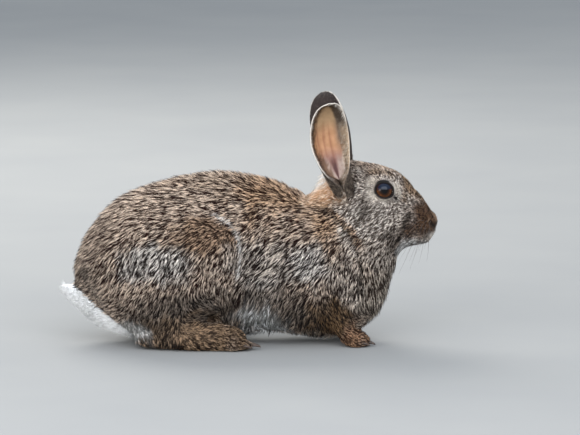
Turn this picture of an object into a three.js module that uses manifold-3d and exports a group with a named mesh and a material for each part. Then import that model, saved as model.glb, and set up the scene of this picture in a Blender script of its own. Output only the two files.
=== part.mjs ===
// A wild rabbit (Oryctolagus cuniculus) crouching at rest, life size, in millimetres.
// +X is towards the nose, +Y to the animal's left, +Z up, and the floor is at z = 0.
// The outline is that of the coat. The body is one smooth field of blended forms, which is meshed
// and then parted with thin cuts where a person would name its parts.
import * as THREE from "three";
import { mergeVertices } from "three/addons/utils/BufferGeometryUtils.js";
import Module from "manifold-3d";

const wasm = await Module();
wasm.setup();

// ---------------------------------------------------------------- driving dimensions
const GAP = 0.4; // clearance between neighbouring pieces
const RUMP_X = -86; // middle of the hindquarters
const LOIN_X = -28; // the highest point of the back
const CHEST_X = 56; // middle of the rib cage
const LOIN_HALF = 43; // half widths of the trunk
const CHEST_HALF = 41;
const EYE = { x: 110.4, y: 15.6, z: 133.6, r: 8.9 };
const EAR_WALL = 2.2; // thickness of an ear with its short fur, in the middle and at the rim
const RIM_WALL = 1.1;
const HINDFOOT_Y = 49; // middle of a hind foot from the median plane
const FORELEG = { right: { x: 0, y: -29 }, left: { x: -7, y: 28 } }; // the left paw is set back a little
const CLAW_RADIUS = 1.15;

const rad = THREE.MathUtils.degToRad;
const SIDES = [["right", -1], ["left", 1]];
const TOE_LANES = [-1.5, -0.5, 0.5, 1.5];

// ---------------------------------------------------------------- fields: distance, negative inside
// An ellipsoid; tilt raises its front end, yaw turns its front end to the left, in degrees.
function blob([cx, cy, cz], [rx, ry, rz], tilt = 0, yaw = 0) {
  const ct = Math.cos(rad(tilt)), st = Math.sin(rad(tilt));
  const cw = Math.cos(rad(yaw)), sw = Math.sin(rad(yaw));
  return (x, y, z) => {
    const dx = x - cx, dy = y - cy, dz = z - cz;
    const ax = dx * cw + dy * sw, v = -dx * sw + dy * cw;
    const u = ax * ct + dz * st, w = -ax * st + dz * ct;
    const a = Math.hypot(u / rx, v / ry, w / rz);
    const b = Math.hypot(u / (rx * rx), v / (ry * ry), w / (rz * rz));
    return b < 1e-9 ? -Math.min(rx, ry, rz) : (a * (a - 1)) / b;
  };
}

// A capsule from a to b whose radius goes from ra to rb.
function limb(a, b, ra, rb) {
  const d = [b[0] - a[0], b[1] - a[1], b[2] - a[2]];
  const dd = d[0] * d[0] + d[1] * d[1] + d[2] * d[2];
  return (x, y, z) => {
    const p = [x - a[0], y - a[1], z - a[2]];
    const t = THREE.MathUtils.clamp((p[0] * d[0] + p[1] * d[1] + p[2] * d[2]) / dd, 0, 1);
    return Math.hypot(p[0] - t * d[0], p[1] - t * d[1], p[2] - t * d[2]) - (ra + t * (rb - ra));
  };
}

const smoothMin = (a, b, k) => {
  const h = Math.max(k - Math.abs(a - b), 0) / k;
  return Math.min(a, b) - (h * h * k) / 4;
};

// Fields joined with fillets of width k.
const blend = (k, ...fields) => (x, y, z) => {
  let d = fields[0](x, y, z);
  for (let i = 1; i < fields.length; i++) d = smoothMin(d, fields[i](x, y, z), k);
  return d;
};

// A field with others taken away, with soft edges of width k.
const carve = (k, field, ...tools) => (x, y, z) =>
  tools.reduce((d, tool) => -smoothMin(-d, tool(x, y, z), k), field(x, y, z));

const both = (field) => (x, y, z) => field(x, -Math.abs(y), z); // a right-hand form on both sides
const narrow = (share, field) => (x, y, z) => field(x, y / share, z) * share;
const grown = (field, by) => (x, y, z) => field(x, y, z) - by;

// A smooth curve through [position, value] stations, positions rising.
function profile(stations) {
  const slope = (i) => {
    const [a, b] = [stations[Math.max(i - 1, 0)], stations[Math.min(i + 1, stations.length - 1)]];
    return (b[1] - a[1]) / (b[0] - a[0]);
  };
  return (s) => {
    let i = 0;
    while (i < stations.length - 2 && s > stations[i + 1][0]) i++;
    const [[s0, v0], [s1, v1]] = [stations[i], stations[i + 1]];
    const t = THREE.MathUtils.clamp((s - s0) / (s1 - s0), 0, 1), w = s1 - s0;
    return (
      (1 + 2 * t) * (1 - t) ** 2 * v0 + t * (1 - t) ** 2 * w * slope(i) +
      t * t * (3 - 2 * t) * v1 + t * t * (t - 1) * w * slope(i + 1)
    );
  };
}

// ---------------------------------------------------------------- the body
const trunk = blend(
  22,
  blob([RUMP_X + 4, 0, 80], [59, 44, 54], -17),
  blob([RUMP_X - 3, 0, 60], [66, 45, 45], -6),
  blob([LOIN_X, 0, 84], [80, LOIN_HALF, 65], -2),
  blob([15, 0, 102], [23, 22, 30], -14), // withers, over the shoulder blades
  blob([CHEST_X, 0, 70], [64, CHEST_HALF, 56]),
  blob([64, 0, 44], [42, 33, 40]),
  blob([-14, 0, 50], [78, 40, 44]),
);
const haunch = both(blob([-84, -31, 66], [52, 28, 48], 12, 6));
const hock = both(blob([-91, -38, 40], [35, 20, 29], -8)); // the fold over the heel
const stifle = both(blob([-51, -39, 72], [36, 21, 46], 16, 3));
const knee = both(blob([-33, -41, 84], [18, 16, 30], 18));
const shoulder = both(blob([44, -27, 68], [34, 20, 46], -24));
const elbow = both(blob([38, -30, 36], [27, 15, 22], -10));
const flankHollow = both(blob([-2, -66, 66], [15, 21, 48], 8));
const NECK_NARROWING = 0.88;
const throat = blob([96, 0, 82], [26, 28, 32], -50);
const neck = narrow(NECK_NARROWING, blend(16, limb([46, 0, 88], [84, 0, 108], 36, 33), throat));
const nape = blob([74, 0, 136], [17, 15, 17], 40);

const cranium = blob([91, 0, 132], [34, 29, 25], -9);
const face = limb([110, 0, 126], [146, 0, 106.5], 25, 11);
const brow = both(blob([107, -16, 141], [16, 10, 10], -20, 6));
const cheek = both(blob([98, -12, 108], [26, 19, 26], -22, 6));
const muzzle = both(blob([139, -6.5, 102.5], [17, 11.5, 12.8], -32));
const jaw = blob([126, 0, 92], [24, 14, 8], -6);
const cheekbone = both(limb([100, -19, 116], [135, -11, 108], 12, 10.5));
const earRoot = (side) => blob([79, side * 17, 135], [12, 8, 13], 60, side * 10);
const HEAD_NARROWING = 0.76;
const skull = narrow(HEAD_NARROWING, blend(9, cranium, face, brow, cheek, cheekbone, muzzle, jaw));
const orbit = both(blob([EYE.x, -EYE.y - 9, EYE.z], [11.5, 8.5, 10.5], 0, 8));
const head = carve(3, blend(5, skull, earRoot(-1), earRoot(1)), orbit);

const hindquarters = blend(6, blend(14, trunk, haunch, hock), blend(8, stifle, knee));
const torso = carve(10, blend(7, hindquarters, blend(10, shoulder, elbow)), flankHollow);
const body = blend(8, torso, blend(12, neck, nape, head));

// ---------------------------------------------------------------- tail, legs and feet
// The tail is turned up against the rump, its white underside outwards.
const tail = blob([-131, 0, 29], [39, 17, 11.5], -33);

const forearm = ({ x, y }) => limb([x + 62, y, 44], [x + 77, y, 14], 14.5, 10);
const forepaw = ({ x, y }) => blend(5, limb([x + 76, y, 13], [x + 90, y, 6], 9.5, 7), blob([x + 88, y, 5], [12, 9, 6]));
const instep = (side) => {
  const y = side * HINDFOOT_Y;
  return blend(8, limb([-94, y * 0.86, 11], [-50, y, 11], 11, 12), blob([-38, y, 11], [34, 12.5, 14], -4));
};

// ---------------------------------------------------------------- meshing
// Surface nets: one vertex in each cell that the surface crosses, drawn onto the surface along its
// gradient, and one quad across each crossed grid edge.
const CORNERS = [0, 1, 2, 3, 4, 5, 6, 7].map((c) => [c & 1, (c >> 1) & 1, c >> 2]);
const CELL_EDGES = CORNERS.flatMap((_, p) =>
  [1, 2, 4].filter((bit) => !(p & bit)).map((bit) => [p, p + bit]));
const FACING_CELLS = [[-1, -1], [0, -1], [0, 0], [-1, 0]];
const OTHER_AXES = [[1, 2], [2, 0], [0, 1]];

function netOf(field, step, [x0, y0, z0], [x1, y1, z1]) {
  const walls = (x, y, z) => Math.max(x0 - x, x - x1, y0 - y, y - y1, z0 - z, z - z1);
  const f = (x, y, z) => Math.max(field(x, y, z), walls(x, y, z));
  const low = [x0 - step, y0 - step, z0 - step];
  const n = [x1 - x0, y1 - y0, z1 - z0].map((side) => Math.ceil(side / step) + 4);
  const at = (i, j, k) => (k * n[1] + j) * n[0] + i;
  const values = new Float64Array(n[0] * n[1] * n[2]);
  for (let k = 0; k < n[2]; k++)
    for (let j = 0; j < n[1]; j++)
      for (let i = 0; i < n[0]; i++)
        values[at(i, j, k)] = f(low[0] + i * step, low[1] + j * step, low[2] + k * step);

  // One step down the gradient, onto the surface.
  const settle = (p) => {
    const e = 0.05, d = f(...p);
    const g = [0, 1, 2].map((m) => (f(...p.map((c, axis) => (axis === m ? c + e : c))) - d) / e);
    const pull = d / Math.max(g[0] * g[0] + g[1] * g[1] + g[2] * g[2], 0.2);
    return p.map((c, m) => c - g[m] * THREE.MathUtils.clamp(pull, -step / 3, step / 3));
  };
  const points = [], vertexOf = new Map();
  for (let k = 0; k < n[2] - 1; k++)
    for (let j = 0; j < n[1] - 1; j++)
      for (let i = 0; i < n[0] - 1; i++) {
        const v = CORNERS.map(([a, b, c]) => values[at(i + a, j + b, k + c)]);
        const crossed = CELL_EDGES.filter(([p, q]) => v[p] < 0 !== v[q] < 0);
        if (!crossed.length) continue;
        const sum = [0, 0, 0];
        for (const [p, q] of crossed) {
          const t = v[p] / (v[p] - v[q]);
          for (let m = 0; m < 3; m++) sum[m] += CORNERS[p][m] + t * (CORNERS[q][m] - CORNERS[p][m]);
        }
        const middle = [i, j, k].map((c, m) => low[m] + (c + sum[m] / crossed.length) * step);
        vertexOf.set(at(i, j, k), points.length / 3);
        points.push(...settle(settle(middle)));
      }

  const triangles = [];
  for (let k = 1; k < n[2] - 1; k++)
    for (let j = 1; j < n[1] - 1; j++)
      for (let i = 1; i < n[0] - 1; i++)
        for (let m = 0; m < 3; m++) {
          const here = [i, j, k], next = [...here];
          next[m]++;
          const inside = values[at(...here)] < 0;
          if (inside === values[at(...next)] < 0) continue;
          const quad = FACING_CELLS.map(([s, t]) => {
            const cell = [...here];
            cell[OTHER_AXES[m][0]] += s;
            cell[OTHER_AXES[m][1]] += t;
            return vertexOf.get(at(...cell));
          });
          if (!inside) quad.reverse();
          triangles.push(quad[0], quad[1], quad[2], quad[0], quad[2], quad[3]);
        }
  return solid(points, triangles);
}

function solid(points, triangles) {
  return new wasm.Manifold(new wasm.Mesh({
    numProp: 3,
    vertProperties: new Float32Array(points),
    triVerts: new Uint32Array(triangles),
  }));
}

// A closed three.js geometry as a solid.
function solidOf(geometry) {
  const bare = geometry.index ? geometry.toNonIndexed() : geometry.clone();
  bare.deleteAttribute("normal");
  bare.deleteAttribute("uv");
  const merged = mergeVertices(bare, 1e-4);
  return solid(merged.attributes.position.array, merged.index.array);
}

// The half space on the side of a plane that its normal points to: a large turned box.
const HUGE = 500;
function halfSpace([x, y, z], normal, shift = 0) {
  const n = new THREE.Vector3(...normal).normalize();
  const box = new THREE.BoxGeometry(HUGE, HUGE, HUGE).translate(0, 0, HUGE / 2 + shift);
  box.applyQuaternion(new THREE.Quaternion().setFromUnitVectors(new THREE.Vector3(0, 0, 1), n));
  return solidOf(box.translate(x, y, z));
}
const ahead = ({ at, normal }) => halfSpace(at, normal, GAP / 2);
const behind = ({ at, normal }) => halfSpace(at, normal.map((c) => -c), GAP / 2);
const aboveFloor = halfSpace([0, 0, 0], [0, 0, 1]);

// An upright elliptical plate beside the median plane, which lifts a thigh off the trunk.
const PLATE_DEPTH = 120;
function thighPlate({ x, z, rx, rz, tilt, inner }, side, grow = 0) {
  const outline = new THREE.Shape().absellipse(x, z, rx + grow, rz + grow, 0, 2 * Math.PI, false, rad(tilt));
  const plate = new THREE.ExtrudeGeometry(outline, { depth: PLATE_DEPTH, bevelEnabled: false, curveSegments: 12 });
  plate.rotateX(Math.PI / 2); // the outline's y becomes z, and the depth runs to -Y
  return solidOf(plate.translate(0, side > 0 ? PLATE_DEPTH + inner - grow : grow - inner, 0));
}

// Rings of equally many points joined into a closed body. `cap` fills an end ring; a fan does for a
// convex one.
const fan = (count) => Array.from({ length: count - 2 }, (_, i) => [0, i + 1, i + 2]);
function loft(rings, cap = fan(rings[0].length)) {
  const count = rings[0].length, last = (rings.length - 1) * count, triangles = [];
  for (let low = 0; low < last; low += count)
    for (let i = 0; i < count; i++) {
      const j = (i + 1) % count, high = low + count;
      triangles.push(low + i, low + j, high + j, low + i, high + j, high + i);
    }
  for (const [a, b, c] of cap) triangles.push(a, c, b, last + a, last + b, last + c);
  return solid(rings.flat(2), triangles);
}

// ---------------------------------------------------------------- ears
// An ear is a cupped leaf on a curved midline. `facing` is the way its hollow opens.
const EARS = {
  right: { base: [76, -13, 132], tip: [64.5, -46, 213], facing: [0.3, -1, 0], bow: 5 },
  left: { base: [76, 13, 133], tip: [61, 29, 214.5], facing: [0.3, 1, 0], bow: 2 },
};
const EAR_ROWS = 11, EAR_COLUMNS = 8, FOOT_ROWS = 4, FOOT_SIDES = 12;
const FOOT_SHARE = 0.4; // how much of an ear's length may lie in the head
const earHalfWidth = profile([[0, 7.6], [0.12, 8.6], [0.25, 11], [0.4, 15], [0.55, 17.6], [0.7, 17.4],
  [0.84, 14.8], [0.93, 11], [0.98, 6.6], [1, 2.6]]);
const earCurl = profile([[0, 165], [0.15, 150], [0.3, 112], [0.5, 80], [0.75, 64], [1, 50]]);
const earRadius = (s) => earHalfWidth(s) / Math.sin(Math.min(rad(earCurl(s)), Math.PI / 2));

// The point at share s of an ear's length, at radius r and angle `turn` from the middle of its back.
function earPoint({ base, tip, facing, bow }, s, r, turn) {
  const foot = new THREE.Vector3(...base), along = new THREE.Vector3(...tip).sub(foot);
  const open = new THREE.Vector3(...facing).projectOnPlane(along).normalize();
  const across = new THREE.Vector3().crossVectors(open, along).normalize();
  const cup = earRadius(s) * (1 - Math.cos(rad(earCurl(s)))) * 0.5;
  return foot.addScaledVector(along, s)
    .addScaledVector(across, r * Math.sin(turn))
    .addScaledVector(open, cup - r * Math.cos(turn))
    .add(new THREE.Vector3(-bow * Math.sin(Math.PI * s), 0, 0)).toArray();
}

// Its two faces are grids that meet at the rim, and its foot is filled in to a solid stalk.
function earSolid(ear) {
  const rings = [];
  for (let row = 0; row <= EAR_ROWS; row++) {
    const s = (row / EAR_ROWS + Math.sin((Math.PI * row) / EAR_ROWS / 2)) / 2; // rows closer at the tip
    const filled = THREE.MathUtils.smoothstep(0.3 - s, 0, 0.14);
    const face = (inner) => Array.from({ length: EAR_COLUMNS + 1 }, (_, column) => {
      const t = (2 * column) / EAR_COLUMNS - 1; // -1 at one rim, 1 at the other
      const wall = THREE.MathUtils.lerp(EAR_WALL, RIM_WALL, t * t) / 2;
      const r = inner ? (earRadius(s) - wall) * (1 - filled) : earRadius(s) + wall;
      return earPoint(ear, s, r, t * rad(earCurl(s)));
    });
    rings.push([...face(false), ...face(true).reverse()]);
  }
  const across = Array.from({ length: EAR_COLUMNS }, (_, c) => {
    const other = 2 * EAR_COLUMNS + 1 - c;
    return [[c, c + 1, other], [c + 1, other - 1, other]];
  });
  return loft(rings, across.flat());
}

// The round hole in the head that an ear's foot stands in.
const EAR_HOLE_GROWTH = EAR_WALL / 2 + GAP + 0.3;
function earHole(ear) {
  return loft(Array.from({ length: FOOT_ROWS + 1 }, (_, row) => {
    const s = FOOT_SHARE * (row / FOOT_ROWS) - (row ? 0 : 0.01);
    return Array.from({ length: FOOT_SIDES }, (_, i) =>
      earPoint(ear, s, earRadius(Math.max(s, 0)) + EAR_HOLE_GROWTH, (2 * Math.PI * i) / FOOT_SIDES));
  }));
}

// ---------------------------------------------------------------- eyes, nostrils, toes and claws
const eyeBall = (side, grow = 0) =>
  solidOf(new THREE.SphereGeometry(EYE.r + grow, 14, 8).rotateX(Math.PI / 2)
    .translate(EYE.x, side * EYE.y, EYE.z));

const nostril = (side) =>
  solidOf(new THREE.SphereGeometry(1, 6, 4).scale(3.4, 1.6, 1.5).rotateZ(rad(side * 32)).rotateY(rad(38))
    .translate(154, side * 4.6, 101.5));

// A row of four toes: the two outer ones end further back. `front` is the tip of the middle toes.
const toeTip = ({ front, y, z, spread, length }, lane) =>
  [front - (Math.abs(lane) > 1 ? 0.3 * length : 0), y + lane * spread, z];

function toeSolid(row, lane, grow = 0) {
  const [x, y, z] = toeTip(row, lane);
  return solidOf(new THREE.SphereGeometry(1, 6, 5).rotateZ(Math.PI / 2)
    .scale(row.length / 2 + grow, row.radius + grow, row.radius * 1.15 + grow)
    .translate(x - row.length / 2, y, z));
}

// A claw: a bent horn tapering forward and down from its toe.
const CLAW_SIDES = 5, CLAW_RINGS = 3, CLAW_DROOP = 0.3, CLAW_TAPER = 0.65;
const claw = ([x, y, z], length, grow = 0) => loft(Array.from({ length: CLAW_RINGS }, (_, ring) => {
  const t = ring / (CLAW_RINGS - 1), r = CLAW_RADIUS * (1 - CLAW_TAPER * t) + grow;
  return Array.from({ length: CLAW_SIDES }, (_, i) => {
    const a = (2 * Math.PI * i) / CLAW_SIDES;
    const drop = CLAW_DROOP * length * t * t;
    return [x - grow + t * (length + 2 * grow), y + r * Math.cos(a), z - drop + r * Math.sin(a)];
  });
}));

// ---------------------------------------------------------------- cutting the parts
const STEP = { trunk: 15.5, thigh: 12, neck: 12, head: 6.6, tail: 8, foot: 9.5, forepaw: 7 };
const BODY_BOX = [[-175, -75, 2], [175, 75, 200]];
const NECK_BOX = [[20, -60, 40], [140, 60, 170]];
const HEAD_BOX = [[50, -50, 60], [175, 50, 175]];
const TAIL_BOX = [[-185, -30, 2], [-85, 30, 70]];
const TRUNK_NECK = { at: [32, 0, 127], normal: [66, 0, 84] };
const NECK_HEAD = { at: [52, 0, 142], normal: [60, 0, 62] };
const THIGH = { x: -69, z: 71, rx: 57, rz: 52, tilt: 18, inner: 24 };
const CLAW_LENGTH = { hind: 8, fore: 7 };
const CLAW_INSET = 2.5; // how deep a claw's root sits in its toe
const TOOL_GROWTH = 1.5; // a coarse cutting copy is grown by more than the gap, for its flatter facets

const take = (from, ...tools) => tools.reduce((rest, tool) => rest.subtract(tool), from);
const join = (first, ...rest) => rest.reduce((whole, piece) => whole.add(piece), first);

const parts = new Map();

// A paw with its four toes and claws, flat where it meets the floor.
function addPaw(kind, name, pad, row) {
  const toes = TOE_LANES.map((lane) => toeSolid(row, lane));
  const roots = TOE_LANES.map((lane) => {
    const [x, y, z] = toeTip(row, lane);
    return [x - CLAW_INSET, y, z];
  });
  const sockets = roots.map((root) => claw(root, CLAW_LENGTH[kind], GAP));
  parts.set(`${kind}paw_${name}`, take(join(pad, ...toes), ...sockets).intersect(aboveFloor));
  roots.forEach((root, i) => parts.set(`claw_${kind}_${name}_${i + 1}`, claw(root, CLAW_LENGTH[kind])));
}

const trunkTools = [];
const tailTool = netOf(grown(tail, TOOL_GROWTH), STEP.tail, ...TAIL_BOX);
for (const [name, side] of SIDES) {
  // Hind foot: the long instep lies flat on the floor, back to the heel.
  const y = side * HINDFOOT_Y;
  const footBox = [[-120, y - 24, -12], [8, y + 24, 40]];
  const footTool = netOf(grown(instep(side), TOOL_GROWTH), STEP.foot, ...footBox);
  addPaw("hind", name, netOf(instep(side), STEP.foot, ...footBox),
    { front: 0, y, z: 5, spread: 5.6, length: 24, radius: 4.8 });

  // Foreleg and forepaw, parted at the wrist.
  const leg = FORELEG[name];
  const legBox = [[40, leg.y - 20, -12], [112, leg.y + 20, 66]];
  const wrist = { at: [leg.x + 75, 0, 12], normal: [1, 0, -0.6] };
  const armTool = netOf(grown(forearm(leg), TOOL_GROWTH), STEP.foot, ...legBox);
  const pawTool = netOf(grown(forepaw(leg), TOOL_GROWTH), STEP.foot, ...legBox);
  parts.set(`foreleg_${name}`,
    netOf(forearm(leg), STEP.foot, ...legBox).intersect(behind(wrist)).intersect(aboveFloor));
  addPaw("fore", name, netOf(forepaw(leg), STEP.forepaw, ...legBox).intersect(ahead(wrist)),
    { front: leg.x + 99, y: leg.y, z: 3.8, spread: 4.6, length: 16, radius: 3.8 });

  const thigh = netOf(body, STEP.thigh, ...BODY_BOX).intersect(thighPlate(THIGH, side));
  parts.set(`thigh_${name}`, take(thigh, footTool, tailTool));
  parts.set(`ear_${name}`, earSolid(EARS[name]));
  parts.set(`eye_${name}`, eyeBall(side));
  trunkTools.push(thighPlate(THIGH, side, GAP), footTool, armTool, pawTool);
}
parts.set("tail", netOf(tail, STEP.tail, ...TAIL_BOX));
const wholeTrunk = netOf(body, STEP.trunk, ...BODY_BOX).intersect(behind(TRUNK_NECK));
parts.set("trunk", take(wholeTrunk, tailTool, ...trunkTools));
const wholeNeck = netOf(body, STEP.neck, ...NECK_BOX);
parts.set("neck", wholeNeck.intersect(ahead(TRUNK_NECK)).intersect(behind(NECK_HEAD)));
const headTools = SIDES.flatMap(([name, side]) =>
  [earHole(EARS[name]), eyeBall(side, GAP), nostril(side)]);
parts.set("head", take(netOf(body, STEP.head, ...HEAD_BOX).intersect(ahead(NECK_HEAD)), ...headTools));

// ---------------------------------------------------------------- scene graph
const FINISH = { // colour and roughness, by the first word of a node's name
  head: [0x85746a, 0.9], neck: [0x8a7058, 0.9], trunk: [0x7f6d5e, 0.9], thigh: [0x83756a, 0.9],
  foreleg: [0x7b5f4a, 0.9], forepaw: [0x8c6a50, 0.9], hindpaw: [0x8f7155, 0.9], tail: [0xe6e4df, 0.95],
  ear: [0xa98263, 0.85], eye: [0x20120a, 0.08], claw: [0x3b2f28, 0.45],
};
const rabbit = new THREE.Group();
for (const [name, made] of parts) {
  const { vertProperties, triVerts } = made.getMesh();
  const geometry = new THREE.BufferGeometry();
  geometry.setAttribute("position", new THREE.BufferAttribute(vertProperties, 3));
  geometry.setIndex(new THREE.BufferAttribute(triVerts, 1));
  const [color, roughness] = FINISH[name.split("_")[0]];
  const mesh = new THREE.Mesh(geometry, new THREE.MeshStandardMaterial({ color, roughness, metalness: 0 }));
  mesh.name = name;
  rabbit.add(mesh);
}

// The origin is on the floor, under the middle of the whole animal.
const box = new THREE.Box3().setFromObject(rabbit);
rabbit.position.set(-(box.min.x + box.max.x) / 2, -(box.min.y + box.max.y) / 2, -box.min.z);

export default rabbit;
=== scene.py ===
"""A wild rabbit crouching at rest: its skin, coat, eyes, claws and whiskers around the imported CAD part.

The skin is the flesh nodes joined, smoothed and drawn in by the coat's depth, with ears and eyelids
lofted onto it. The coat is solid tufts rooted in that skin. One table says how the coat lies and
another how it is marked, and skin and coat both read them. Lengths are millimetres up to the last
step, which makes meshes in metres.
"""

import math
from functools import partial

import bmesh
import bpy
import numpy as np
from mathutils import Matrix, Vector
from mathutils.bvhtree import BVHTree
from mathutils.kdtree import KDTree


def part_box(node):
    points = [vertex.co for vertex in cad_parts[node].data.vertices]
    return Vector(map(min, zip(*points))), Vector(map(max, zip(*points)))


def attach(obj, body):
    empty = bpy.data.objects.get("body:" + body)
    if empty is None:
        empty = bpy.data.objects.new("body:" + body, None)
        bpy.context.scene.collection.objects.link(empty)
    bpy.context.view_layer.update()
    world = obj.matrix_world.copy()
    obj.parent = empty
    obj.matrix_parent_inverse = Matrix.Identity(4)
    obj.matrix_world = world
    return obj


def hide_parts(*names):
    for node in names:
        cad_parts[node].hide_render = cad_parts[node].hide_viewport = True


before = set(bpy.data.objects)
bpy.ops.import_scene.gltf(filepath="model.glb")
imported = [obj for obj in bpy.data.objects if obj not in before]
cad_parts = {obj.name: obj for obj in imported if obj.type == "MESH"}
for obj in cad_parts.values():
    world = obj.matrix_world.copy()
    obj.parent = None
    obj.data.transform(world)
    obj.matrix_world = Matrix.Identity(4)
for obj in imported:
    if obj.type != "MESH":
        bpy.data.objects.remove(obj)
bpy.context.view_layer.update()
MM = 0.001
SIDES = {"right": -1, "left": 1}
rng = np.random.default_rng(11)

# ---- landmarks, from the frame
NODE_BOX = {name: np.array(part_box(name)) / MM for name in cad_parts}
FLESH = [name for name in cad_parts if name.split("_")[0] not in ("ear", "eye", "claw")]


def on(node, along, across, up):
    """A point in a node's box: shares of the way from tail to nose, right to left and floor to top."""
    low, high = NODE_BOX[node]
    return low + (high - low) * np.array([along, across, up])


head, neck, trunk, tail, thigh, foreleg, forepaw, hindpaw = (partial(on, node) for node in (
    "head", "neck", "trunk", "tail", "thigh_right", "foreleg_right", "forepaw_right", "hindpaw_right"))
EYE = on("eye_right", 0.5, 0.5, 0.5)
EYE_RADIUS = np.ptp(NODE_BOX["eye_right"][:, 2]) / 2


# ---- arithmetic
def unit(v):
    return v / np.maximum(np.linalg.norm(v, axis=-1, keepdims=True), 1e-9)


def smoothstep(t):
    t = np.clip(t, 0, 1)
    return t * t * (3 - 2 * t)


def rising(value, start, width):
    """0 up to the start, then smoothly up to 1 over the width."""
    return smoothstep((value - start) / width)


def falling(value, end, width):
    """Smoothly down from 1 over the width before the end, then 0."""
    return smoothstep((end - value) / width)


def swung(a, b, angle):
    """Directions turned from a by an angle towards b, which is square to a."""
    return a * np.cos(angle)[:, None] + b * np.sin(angle)[:, None]


def mirrored(points):
    """The same places on the right side, which the tables describe."""
    return points * [1, 0, 1] - np.abs(points) * [0, 1, 0]


WAVES = np.random.default_rng(3).normal(size=(9, 3))
PHASES = np.random.default_rng(4).uniform(0, 2 * math.pi, 9)


def wobble(points, size):
    """Smooth noise of mean 0 and spread about 1, with lumps about `size` across."""
    return np.sin(points @ (WAVES.T * (2.4 / size)) + PHASES).sum(-1) / 2.1


# ---- meshes as arrays
def arrays(mesh):
    """The vertices and triangles of a mesh, in millimetres."""
    mesh.calc_loop_triangles()
    points = np.empty(len(mesh.vertices) * 3, np.float32)
    mesh.vertices.foreach_get("co", points)
    triangles = np.empty(len(mesh.loop_triangles) * 3, np.int32)
    mesh.loop_triangles.foreach_get("vertices", triangles)
    return points.reshape(-1, 3).astype(float) / MM, triangles.reshape(-1, 3)


def placed(name, data):
    """A new object in the scene."""
    made = bpy.data.objects.new(name, data)
    bpy.context.scene.collection.objects.link(made)
    return made


def object_of(name, points, faces, material=None):
    """A smooth-shaded object from points in millimetres and faces that all have as many corners."""
    count, corners = faces.shape
    mesh = bpy.data.meshes.new(name)
    if material:
        mesh.materials.append(material)
    mesh.vertices.add(len(points))
    mesh.vertices.foreach_set("co", (points * MM).astype(np.float32).ravel())
    mesh.loops.add(count * corners)
    mesh.loops.foreach_set("vertex_index", faces.astype(np.int32).ravel())
    mesh.polygons.add(count)
    mesh.polygons.foreach_set("loop_start", np.arange(count, dtype=np.int32) * corners)
    mesh.polygons.foreach_set("use_smooth", np.ones(count, bool))
    mesh.update(calc_edges=True)
    return placed(name, mesh)


def remove(*objects):
    for item in objects:
        bpy.data.meshes.remove(item.data)


def with_modifier(source, kind, **settings):
    """The mesh that an object has after one modifier."""
    modifier = source.modifiers.new(kind, kind)
    for key, value in settings.items():
        setattr(modifier, key, value)
    graph = bpy.context.evaluated_depsgraph_get()
    made = bpy.data.meshes.new_from_object(source.evaluated_get(graph))
    source.modifiers.remove(modifier)
    return made


def merged(parts):
    """Several (points, triangles) as one."""
    starts = np.cumsum([0] + [len(points) for points, _ in parts[:-1]])
    return (np.concatenate([points for points, _ in parts]),
            np.concatenate([triangles + start for (_, triangles), start in zip(parts, starts)]))


def bands(rows, count):
    """The triangles of bands between closed rings of `count` points: two sets, with a row for each band."""
    here = np.arange(rows)[:, None] * count + np.arange(count)
    beside = np.roll(here, -1, axis=1)
    return np.stack([np.stack([here, beside, beside + count], -1),
                     np.stack([here, beside + count, here + count], -1)])


def face_normals(points, triangles):
    """Normals of triangles, each as long as twice its triangle's area."""
    a, b, c = (points[triangles[:, i]] for i in range(3))
    return np.cross(b - a, c - a)


def vertex_normals(points, triangles):
    face = face_normals(points, triangles)
    return unit(np.stack([sum(np.bincount(triangles[:, i], face[:, axis], len(points)) for i in range(3))
                          for axis in range(3)], -1))


def edge_pairs(triangles):
    pairs = np.concatenate([triangles[:, [0, 1]], triangles[:, [1, 2]], triangles[:, [2, 0]]])
    return np.unique(np.sort(pairs, axis=1), axis=0)


def smoothed(values, edges, rounds, strength=0.5):
    """Values drawn towards their neighbours' mean; strength is a number or one for each vertex."""
    count = len(values)
    degree = np.bincount(edges.ravel(), minlength=count)
    share = (strength / np.maximum(degree, 1))[:, None]
    kept = 1 - np.broadcast_to(np.asarray(strength, float), (count,))[:, None]
    here, there = edges.T
    for _ in range(rounds):
        around = np.stack([np.bincount(here, column[there], count) + np.bincount(there, column[here], count)
                           for column in values.T], -1)
        values = values * kept + around * share
    return values


# ---- lids, folds and whisker roots of the right side
GAZE = unit(np.array([0.06, -1, 0.12]))
EYE_FRONT = unit(np.array([1, 0, 0]) - GAZE * GAZE[0])
EYE_UP = np.cross(GAZE, EYE_FRONT)


def bump_at(around, middle, width):
    """1 at an angle, fading round it."""
    return np.exp(-(np.angle(np.exp(1j * (around - math.radians(middle)))) / math.radians(width)) ** 2)


def lid_opening(around):
    """The half angle that the lids leave open, wider than high, with a sharp front corner."""
    corners = 9 * bump_at(around, -33, 16) + 2 * bump_at(around, 190, 20)
    return np.radians(47.5 + 5.5 * np.cos(2 * around + 0.4) + corners)


def lid_margin(around):
    """How wide the dark bare edge of the lids is."""
    return (1.2 + 1.5 * bump_at(around, 95, 60) + 0.5 * bump_at(around, 180, 40)
            + 0.7 * bump_at(around, -33, 20) + 0.5 * bump_at(around, -90, 45))


def beyond_lid(places):
    """The angle round the eye of places on the right side, and how far they are from the lids' edge."""
    q = places - EYE
    around = np.arctan2(q @ EYE_UP, q @ EYE_FRONT)
    angle = np.arccos(np.clip(unit(q) @ GAZE, -1, 1))
    off_ball = np.maximum(np.linalg.norm(q, axis=1) - EYE_RADIUS - 2, 0)
    return around, (angle - lid_opening(around)) * EYE_RADIUS + off_ball


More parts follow.
